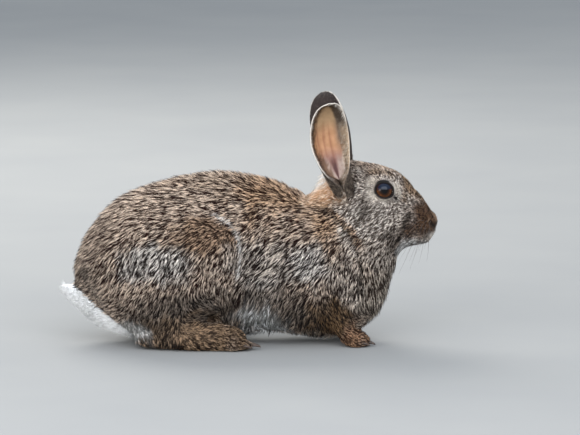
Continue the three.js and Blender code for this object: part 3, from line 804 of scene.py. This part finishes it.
# ---- coat
COVER = 8.0  # how many tufts deep the coat lies everywhere
TUFT_WIDTH = (0.08, 0.038)  # a tuft's width: this much, and this share of its length
CLUMP_TURN, HAIR_TURN = 0.19, 0.11  # spread of the hairs' directions
CLUMP_SWAY, SWAY_BREADTH = 0.14, 22  # how far neighbouring clumps turn together, and over what distance
CLUMP_SIZES, HAIR_SIZES = (0.85, 1.15), (0.85, 1.1)  # spread of the hairs' lengths and of their lift
CLUMP_PULL, MIDDLE_PULL = 0.6, 0.6  # how far the tips of a clump are drawn together, and the middles less
TIP_SCATTER = 0.04
MAX_DENSITY = 5.2  # tufts to a square millimetre
MAX_CLUMPS = 1.15  # clumps to a square millimetre
BARE_THINNING = 0.93  # how much of the coat is missing on bare skin
ROOT_DEPTH = 0.25  # roots lie this far under the skin
FLOOR_GAP = (0.3, 0.3, 0.25)  # how far the root, middle and tip of a hair stay above the floor
SPIKE_FACES = [(0, 2, 1), (0, 1, 3), (1, 2, 3), (2, 0, 3)]
SPINDLE_FACES = [(0, 1, 3), (1, 2, 3), (2, 0, 3), (1, 0, 4), (2, 1, 4), (0, 2, 4)]
THICKEST = 0.45  # where along a spindle it is thickest
MAX_TRIANGLES = 195_000
BAKE_PATCH = 0.003  # a tuft's size on the baking map
UNWRAP_MARGIN = 0.003
UNWRAP_ANGLE = math.radians(66)


def unwrap(triangles):
    """Where the corners of some of the skin's triangles lie on an unwrap of its own shape."""
    used, index = np.unique(triangles, return_inverse=True)
    patch = object_of("patch", skin_points[used], index.reshape(-1, 3))
    bpy.context.view_layer.objects.active = patch
    patch.select_set(True)
    bpy.ops.object.mode_set(mode="EDIT")
    bpy.ops.mesh.select_all(action="SELECT")
    bpy.ops.uv.smart_project(angle_limit=UNWRAP_ANGLE, island_margin=UNWRAP_MARGIN)
    bpy.ops.object.mode_set(mode="OBJECT")
    uv = np.empty(len(triangles) * 6, np.float32)
    patch.data.uv_layers.active.data.foreach_get("uv", uv)
    remove(patch)
    return uv.reshape(-1, 3, 2)


def is_bald(points):
    """Whether a point is on the edge of a lid, in a nostril or in the mouth."""
    places = mirrored(points)
    around, beyond = beyond_lid(places)
    return ((beyond < lid_margin(around) * 0.9) | (from_line(places, NOSTRIL) < 1.9)
            | (from_line(places, MOUTH) < 0.5) | (from_line(places, CANTHUS) < 1.5))


class Roots:
    """Random places on triangles of the skin, `density` to a square millimetre, and the coat there."""

    def __init__(self, picked, density):
        total = np.cumsum(triangle_area[picked] * density)
        count = int(total[-1])
        steps = (np.arange(count) + rng.random(count)) * (total[-1] / count)
        row = np.minimum(np.searchsorted(total, steps), len(picked) - 1)
        u, v = rng.random((2, count))
        over = u + v > 1
        u, v = np.where(over, 1 - u, u), np.where(over, 1 - v, v)
        weights = np.stack([1 - u - v, u, v], -1)
        furred = ~is_bald((skin_points[skin_triangles[picked[row]]] * weights[..., None]).sum(1))
        self.row, self.weights = row[furred], weights[furred]
        triangles = picked[self.row]
        self.points = self.within(skin_points[skin_triangles[triangles]])
        self.normals = unit(self.within(skin_normals[skin_triangles[triangles]]))
        self.coat = coat_at(self.points, self.normals, triangle_node[triangles])

    def within(self, corners):
        """Values at the roots from those at the corners of their triangles."""
        return (corners * self.weights[..., None]).sum(1)


def hair_line(roots, turn, size, lift):
    """The middle and the tip of each hair: it rises steeply, then lies over."""
    lie, length, depth = roots.coat[:3]
    length, depth = length * size, depth * size
    lie = swung(lie, np.cross(roots.normals, lie), turn)
    lift = np.arcsin(np.clip(depth / (0.82 * length), 0.05, 0.9)) * lift
    middle = roots.points + swung(lie, roots.normals, lift * 1.35) * (0.45 * length)[:, None]
    return middle, middle + swung(lie, roots.normals, lift * 0.6) * (0.55 * length)[:, None]


def owners(hairs, clumps):
    """For each hair the clump whose root is nearest."""
    tree = KDTree(len(clumps.points))
    for index, point in enumerate(clumps.points.tolist()):
        tree.insert(point, index)
    tree.balance()
    return np.array([tree.find(point)[1] for point in hairs.points.tolist()])


def tuft_width(length):
    return TUFT_WIDTH[0] + TUFT_WIDTH[1] * length


def coat_piece(name, picked, slot="coat", clump=1.35, cover=COVER):
    """One piece of coat on picked triangles of the skin. The hairs of a clump share an area, tone and tip."""
    sample_normals = unit(skin_normals[skin_triangles[picked]].sum(1))
    _, length, _, _, bare = coat_at(triangle_centre[picked], sample_normals, triangle_node[picked])
    density = np.minimum(cover / (tuft_width(length) * length), MAX_DENSITY) * (1 - BARE_THINNING * bare)
    hairs = Roots(picked, density)
    clumps = Roots(picked, np.minimum(density / clump, MAX_CLUMPS))
    count, clump_count = len(hairs.points), len(clumps.points)
    clump_turn = rng.normal(0, CLUMP_TURN, clump_count) + CLUMP_SWAY * wobble(clumps.points, SWAY_BREADTH)
    clump_size, clump_lift = rng.uniform(*CLUMP_SIZES, clump_count), rng.uniform(*CLUMP_SIZES, clump_count)
    clump_tone = rng.random(clump_count)
    clump_middle, clump_tip = hair_line(clumps, clump_turn, clump_size, clump_lift)
    owner = owners(hairs, clumps)
    turn = clump_turn[owner] + rng.normal(0, HAIR_TURN, count)
    size = clump_size[owner] * rng.uniform(*HAIR_SIZES, count)
    middle, tip = hair_line(hairs, turn, size, clump_lift[owner] * rng.uniform(*HAIR_SIZES, count))
    length, fur = hairs.coat[1] * size, hairs.coat[3]
    scatter = rng.normal(0, TIP_SCATTER, (count, 3)) * length[:, None]
    tip = tip + (clump_tip[owner] + scatter - tip) * CLUMP_PULL
    middle = middle + (clump_middle[owner] - middle) * CLUMP_PULL * MIDDLE_PULL
    tone = np.clip(0.85 * clump_tone[owner] + 0.25 * rng.random(count) - 0.05, 0, 1)
    root = hairs.points - hairs.normals * ROOT_DEPTH
    for part, gap in zip((root, middle, tip), FLOOR_GAP):
        part[:, 2] = np.maximum(part[:, 2], gap)

    # A long hair is a spindle, thickest a little above its root; a short one is a spike.
    ahead = unit(tip - root)
    side = unit(np.cross(hairs.normals, ahead))
    up = np.cross(ahead, side)
    half = (tuft_width(length) / 2)[:, None]
    spike = slot == "ear_coat"
    ring, step, faces = (root, 0.0, SPIKE_FACES) if spike else (middle, THICKEST, SPINDLE_FACES)
    corners = [ring - side * half, ring + side * half, ring + up * half * 0.9, tip]
    per_vertex = [(-0.5, step), (0.5, step), (0, step), (0, 1.0)]
    if not spike:
        corners.append(root)
        per_vertex.append((0, 0))
    points = np.stack(corners, 1).reshape(-1, 3)
    corners, per_vertex = len(corners), np.array(per_vertex)
    triangles = (np.arange(count)[:, None, None] * corners + np.array(faces)).reshape(-1, 3)
    if len(triangles) > MAX_TRIANGLES:
        raise ValueError(f"{name} has {len(triangles)} triangles")

    piece = object_of(name, points, triangles, coat_material)
    uv = hairs.within(unwrap(skin_triangles[picked])[hairs.row])
    uv = np.clip(uv, BAKE_PATCH / 2, 1 - BAKE_PATCH / 2)
    vertex_uv = (uv[:, None] + (per_vertex - [0, 0.5]) * BAKE_PATCH).reshape(-1, 2)
    layer = piece.data.uv_layers.new(name="OFBake")
    layer.data.foreach_set("uv", vertex_uv[triangles.ravel()].astype(np.float32).ravel())
    fur = np.repeat(fur, corners, axis=0)
    add_attributes(piece, along=np.tile(per_vertex[:, 1], count), tone=np.repeat(tone, corners),
                   light=fur[:, :3], dark=fur[:, 3:])
    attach(piece, "root")


def add_attributes(thing, **attributes):
    """Numbers, or colours, for each vertex."""
    for name, values in attributes.items():
        if values.ndim == 1:
            kind, key = "FLOAT", "value"
        else:
            kind, key = "FLOAT_COLOR", "color"
            values = np.concatenate([values, np.ones((len(values), 1))], axis=1)
        made = thing.data.attributes.new(name, kind, "POINT")
        made.data.foreach_set(key, values.astype(np.float32).ravel())


# ---- materials
class Shader:
    """The nodes of a material or a world: `add` makes one, sets its inputs and gives an output."""

    def __init__(self, name, kind="materials", surface="Principled BSDF"):
        self.owner = getattr(bpy.data, kind).new(name)
        self.owner.use_nodes = True
        self.tree = self.owner.node_tree
        self.surface = self.tree.nodes[surface]

    def set(self, node, inputs):
        """Sets a node's inputs from numbers or from other nodes' outputs."""
        for key, value in inputs.items():
            if isinstance(value, bpy.types.NodeSocket):
                self.tree.links.new(value, node.inputs[key])
            else:
                node.inputs[key].default_value = value

    def finished(self, inputs):
        """Sets the surface's inputs and gives the whole material or world."""
        self.set(self.surface, inputs)
        return self.owner

    def add(self, kind, inputs, output=0, **settings):
        node = self.tree.nodes.new("ShaderNode" + kind)
        for key, value in settings.items():
            setattr(node, key, value)
        self.set(node, inputs)
        return node.outputs[output]

    def attribute(self, name, output="Fac"):
        return self.add("Attribute", {}, output, attribute_name=name)

    def product(self, a, b, operation="MULTIPLY"):
        return self.add("Math", {0: a, 1: b}, operation=operation)

    def mix(self, share, a, b):
        return self.add("Mix", {0: share, 6: a, 7: b}, output=2, data_type="RGBA")

    def fur(self, share):
        """From the fur's dark end to its light end."""
        return self.mix(share, self.attribute("dark", "Color"), self.attribute("light", "Color"))

    def spread(self, value, low, high, to_low=0.0, to_high=1.0):
        return self.add("MapRange", {0: value, 1: low, 2: high, 3: to_low, 4: to_high},
                        interpolation_type="SMOOTHSTEP")

    def noise(self, scale, detail=2.0, place=None):
        place = place or self.add("TexCoord", {}, "Object")
        return self.add("TexNoise", {"Vector": place, "Scale": scale, "Detail": detail}, "Fac")

    def bump(self, height, strength, distance):
        return self.add("Bump", {"Height": height, "Strength": strength, "Distance": distance})


def rgba(code):
    return (*colour(code), 1)


def make_coat_material():
    """Hair that is dark at the root and, by its tone, pale towards the tip."""
    shader = Shader("coat")
    along, tone = shader.attribute("along"), shader.attribute("tone")
    band = shader.product(shader.spread(along, 0.25, 0.5), shader.spread(along, 0.8, 0.97, 1.0, 0.35))
    shade = shader.fur(shader.product(band, shader.spread(tone, 0.5, 0.64)))
    speckle = shader.spread(shader.noise(900.0), 0.3, 0.7, 0.82, 1.15)
    shade = shader.add("HueSaturation", {"Color": shade, "Value": speckle})
    return shader.finished({"Base Color": shade, "Roughness": shader.spread(tone, 0, 1, 0.75, 0.55),
                            "Specular IOR Level": 0.12, "Sheen Weight": 0.04, "Sheen Roughness": 0.5})


def make_skin_material():
    """Short fur and bare skin: the coat's markings, with fine hairs as bump."""
    shader = Shader("skin")
    bare, grain = shader.attribute("bare"), shader.noise(1400.0, 3.0)
    amount = shader.mix(bare, shader.spread(grain, 0.35, 0.7, 0.1, 0.75),
                        shader.spread(shader.noise(160.0, 3.0), 0.3, 0.7, 0.55, 1.0))
    bump = shader.bump(grain, shader.spread(bare, 0, 1, 0.6, 0.15), 0.0006)
    return shader.finished({"Base Color": shader.fur(amount), "Normal": bump, "Specular IOR Level": 0.3,
                            "Roughness": shader.spread(bare, 0, 1, 0.8, 0.55)})


def make_eye_material():
    """Pupil, amber iris with fine spokes, dark rim and a painted reflection of the sky over the upper half, all
    under a wet gloss.
    """
    shader = Shader("eye")
    angle = shader.attribute("angle")
    spokes = shader.noise(1.0, 4.0, shader.attribute("spoke", "Vector"))
    iris = shader.mix(shader.spread(spokes, 0.3, 0.7), rgba("2b1509"), rgba("6b3f1f"))
    iris = shader.mix(shader.spread(angle, 20, 42), rgba("1b0d07"), iris)
    ragged = shader.product(angle, shader.spread(spokes, 0.2, 0.8, -1.2, 1.2), "ADD")
    shade = shader.mix(shader.spread(ragged, 17, 20), rgba("030304"), iris)
    shade = shader.mix(shader.spread(ragged, 43, 56), shade, rgba("0c0807"))
    # Painted reflection of the sky: dark blue-grey over the ball's upper half, fading out towards the lids.
    painted_sky_reflection = shader.product(shader.spread(shader.attribute("height"), -0.05, 0.25),
                          shader.spread(angle, 40, 54, 0.95, 0.0))
    return shader.finished({"Base Color": shader.mix(painted_sky_reflection, shade, rgba("0f1c2e")), "Roughness": 0.3,
                            "Specular IOR Level": 0.1,
                            "Coat Weight": 0.5, "Coat Roughness": 0.02, "Coat IOR": 1.36})


def make_horn_material():
    shader = Shader("horn")
    streak = shader.noise(500.0, 3.0)
    shade = shader.mix(shader.spread(streak, 0.3, 0.7), rgba("2a211c"), rgba("5c4a3e"))
    return shader.finished({"Base Color": shade, "Roughness": 0.42, "Normal": shader.bump(streak, 0.3, 0.0002)})


def make_floor_material():
    shader = Shader("floor")
    return shader.finished({"Base Color": shader.mix(shader.noise(6.0), rgba("8f908f"), rgba("999996")),
                            "Roughness": 0.9})


coat_material = make_coat_material()
eye_material = make_eye_material()
horn_material = make_horn_material()

# ---- the skin's finish
_, _, _, skin_fur, skin_bare = coat_at(skin_points, skin_normals, nearest_nodes(skin_points))
add_attributes(skin, light=skin_fur[:, :3], dark=skin_fur[:, 3:], bare=skin_bare)
skin.data.materials.clear()
skin.data.materials.append(make_skin_material())

# ---- pieces of coat
x, y, z = triangle_centre.T
on_top, is_low = z > trunk(0, 0, 0.72)[2], z <= trunk(0, 0, 0.2)[2]
in_front = x > trunk(0.45, 0, 0)[0]
on_side = ~on_top & ~is_low


def part_of(node):
    """Which of the skin's triangles stand for the nodes whose names start so."""
    return np.char.startswith(triangle_node, node)


PIECES = [  # name, its triangles, its slot, hairs to a clump, how deep the tufts lie
    ("coat_back_front", part_of("trunk") & on_top & in_front),
    ("coat_back_rear", part_of("trunk") & on_top & ~in_front),
    ("coat_flank_right", part_of("trunk") & on_side & (y < 0)),
    ("coat_flank_left", part_of("trunk") & on_side & (y >= 0)),
    ("coat_belly", part_of("trunk") & is_low, "coat", 2, 3.4),
    ("coat_thigh_right", part_of("thigh_right")),
    ("coat_thigh_left", part_of("thigh_left")),
    ("coat_neck", part_of("neck")),
    ("coat_head_right", part_of("head") & (y < 0), "coat", 1.9, 3.6),
    ("coat_head_left", part_of("head") & (y >= 0), "coat", 1.9, 3.6),
    ("coat_forelegs", part_of("fore"), "paw_coat", 2, 4.2),
    ("coat_hindpaws", part_of("hindpaw"), "paw_coat", 2, 3.0),
    ("coat_tail", part_of("tail"), "tail_coat", 3, 15),
    ("coat_ear_right", part_of("ear_right"), "ear_coat", 2.5, 3.4),
    ("coat_ear_left", part_of("ear_left"), "ear_coat", 2.5, 3.4),
]
for name, chosen, *settings in PIECES:
    coat_piece(name, np.flatnonzero(chosen), *settings)

# ---- eyes
EYE_RINGS, EYE_SEGMENTS = 60, 72
CORNEA = (0.5, math.radians(40))  # how far it stands out, and its half angle
SPOKES = 14


def eye_ball(name):
    side = SIDES[name]
    centre, axis = EYE * [1, -side, 1], GAZE * [1, -side, 1]
    up = unit(np.array([0, 0, 1]) - axis * axis[2])
    angle = np.linspace(0, math.pi, EYE_RINGS + 2)[1:-1]
    around = np.linspace(0, 2 * math.pi, EYE_SEGMENTS, endpoint=False)
    a, t = np.meshgrid(angle, around, indexing="ij")
    a, t = np.append(a.ravel(), [0, math.pi]), np.append(t.ravel(), [0, 0])
    radius = EYE_RADIUS - CORNEA[0] + CORNEA[0] * falling(a, CORNEA[1] * 1.5, CORNEA[1])
    outward = swung(axis, swung(np.cross(axis, up), up, t), a)
    here = np.arange(EYE_SEGMENTS)
    beside = np.roll(here, -1)
    last, front = (EYE_RINGS - 1) * EYE_SEGMENTS, EYE_RINGS * EYE_SEGMENTS
    triangles = np.concatenate([
        bands(EYE_RINGS - 1, EYE_SEGMENTS).reshape(-1, 3)[:, ::-1],
        np.stack([np.full_like(here, front), here, beside], -1),
        np.stack([np.full_like(here, front + 1), beside + last, here + last], -1)])
    ball = object_of("eyeball_" + name, centre + outward * radius[:, None], triangles, eye_material)
    add_attributes(ball, angle=np.degrees(a), height=outward @ up)
    # Noise that changes quickly round the eye and slowly from pupil to rim gives the iris its spokes.
    spoke = ball.data.attributes.new("spoke", "FLOAT_VECTOR", "POINT")
    places = np.stack([np.cos(t) * SPOKES, np.sin(t) * SPOKES, a], -1)
    spoke.data.foreach_set("vector", places.astype(np.float32).ravel())
    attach(ball, "root")
    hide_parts("eye_" + name)


for name in SIDES:
    eye_ball(name)

# ---- claws and whiskers
TUBE_SIDES = 8
CLAW_RADIUS, CLAW_POINT, CLAW_BEND = 1.15, 0.08, 1.1
WHISKER_RADIUS, WHISKER_POINT = 0.14, 0.03
WHISKER_LENGTH = (22, 44)
WHISKER_DROOP = np.array([-0.3, 0, -0.45])  # how far the tips hang back and down, as shares of the length


def tube(path, radii):
    """A closed round tube through the points of a path, with a radius at each."""
    direction = unit(np.gradient(path, axis=0))
    level = unit(np.cross(direction, [0, 0, 1]) + [0, 1e-6, 0])[:, None]
    upright = np.cross(level, direction[:, None])
    around = np.linspace(0, 2 * math.pi, TUBE_SIDES, endpoint=False)
    rings = path[:, None] + radii[:, None, None] * swung(level, upright, around)
    last = len(path) - 1
    fan = np.array([[0, i + 1, i + 2] for i in range(TUBE_SIDES - 2)])
    sides = bands(last, TUBE_SIDES).reshape(-1, 3)
    triangles = np.concatenate([sides, fan[:, ::-1], fan + last * TUBE_SIDES])
    return rings.reshape(-1, 3), triangles[:, ::-1]


share = np.linspace(0, 1, 10)[:, None]
for name in [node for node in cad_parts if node.startswith("claw_")]:
    root, end = on(name, 0, 0.5, 0.72), on(name, 1, 0.5, 0.12)
    path = root + (end - root) * share + np.array([0, 0, CLAW_BEND]) * (share * (1 - share) * 2)
    radii = CLAW_RADIUS * (1 - share[:, 0]**1.6) ** 0.8 + CLAW_POINT
    claw = object_of(name.replace("claw_", "nail_"), *tube(path, radii), horn_material)
    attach(claw, "root")
    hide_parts(name)

share = np.linspace(0, 1, 9)[:, None]
whiskers = []
for side in SIDES.values():
    for index, place in enumerate(WHISKER_ROOTS * [1, -side, 1]):
        row, column = divmod(index, WHISKER_COLUMNS)
        length = WHISKER_LENGTH[0] + np.ptp(WHISKER_LENGTH) * (column + rng.random()) / WHISKER_COLUMNS
        out = unit(np.array([0.1 - 0.16 * column + rng.normal(0, 0.1), side,
                             0.1 - 0.3 * row + rng.normal(0, 0.08)]))
        path = place - out * 2 + out * length * share + WHISKER_DROOP * length * share**2 * 0.6
        whiskers.append(tube(path, WHISKER_RADIUS * (1 - share[:, 0]) + WHISKER_POINT))
whisker_piece = object_of("whiskers", *merged(whiskers), horn_material)
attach(whisker_piece, "root")

# ---- scene
FLOOR_REACH = 3000
floor = object_of("floor", np.array([[-1, -1, 0], [1, -1, 0], [1, 1, 0], [-1, 1, 0]]) * FLOOR_REACH,
                  np.array([[0, 1, 2, 3]]), make_floor_material())
bpy.context.scene.view_settings.view_transform = "Standard"


def overcast_sky():
    """Bright overhead and dimmer towards the horizon."""
    shader = Shader("sky", "worlds", "Background")
    height = shader.add("SeparateXYZ", {"Vector": shader.add("TexCoord", {}, "Generated")}, "Z")
    return shader.finished({"Color": shader.mix(height, (0.24, 0.25, 0.25, 1), (0.84, 0.92, 1.04, 1)),
                            "Strength": 1.2})


def area_light(name, place, size, radiance, shade):
    """A softbox that faces the rabbit: how wide and high it is, and how bright it looks."""
    lamp = placed(name, bpy.data.lights.new(name, "AREA"))
    lamp.data.shape = "RECTANGLE"
    lamp.data.size, lamp.data.size_y = size
    lamp.data.energy, lamp.data.color = radiance * math.pi * size[0] * size[1], shade
    lamp.location = place
    lamp.rotation_euler = (Vector((0, 0, 0.1)) - lamp.location).to_track_quat("-Z", "Y").to_euler()


bpy.context.scene.world = overcast_sky()
area_light("key", (0.25, -2.0, 1.4), (3.2, 1.5), 4.2, (0.96, 0.98, 1.04))
area_light("rim", (-0.6, 1.4, 1.3), (1.4, 1.0), 7.0, (1, 0.98, 0.95))
area_light("fill", (-1.6, -1.2, 0.45), (1.2, 0.8), 6.0, (1, 1, 1))

VIEW_WIDTH = 0.4988  # what the picture's width covers at the rabbit, in metres
VIEW_DISTANCE = 5.0
VIEW_ELEVATION = math.radians(8)
camera = placed("camera", bpy.data.cameras.new("camera"))
camera.data.sensor_width = 36
camera.data.lens = VIEW_DISTANCE * camera.data.sensor_width / VIEW_WIDTH
back = Vector((0, -math.cos(VIEW_ELEVATION), math.sin(VIEW_ELEVATION)))
camera.location = Vector((0.0333, 0, 0.1077)) + back * VIEW_DISTANCE
camera.rotation_euler = (-back).to_track_quat("-Z", "Y").to_euler()
bpy.context.scene.camera = camera
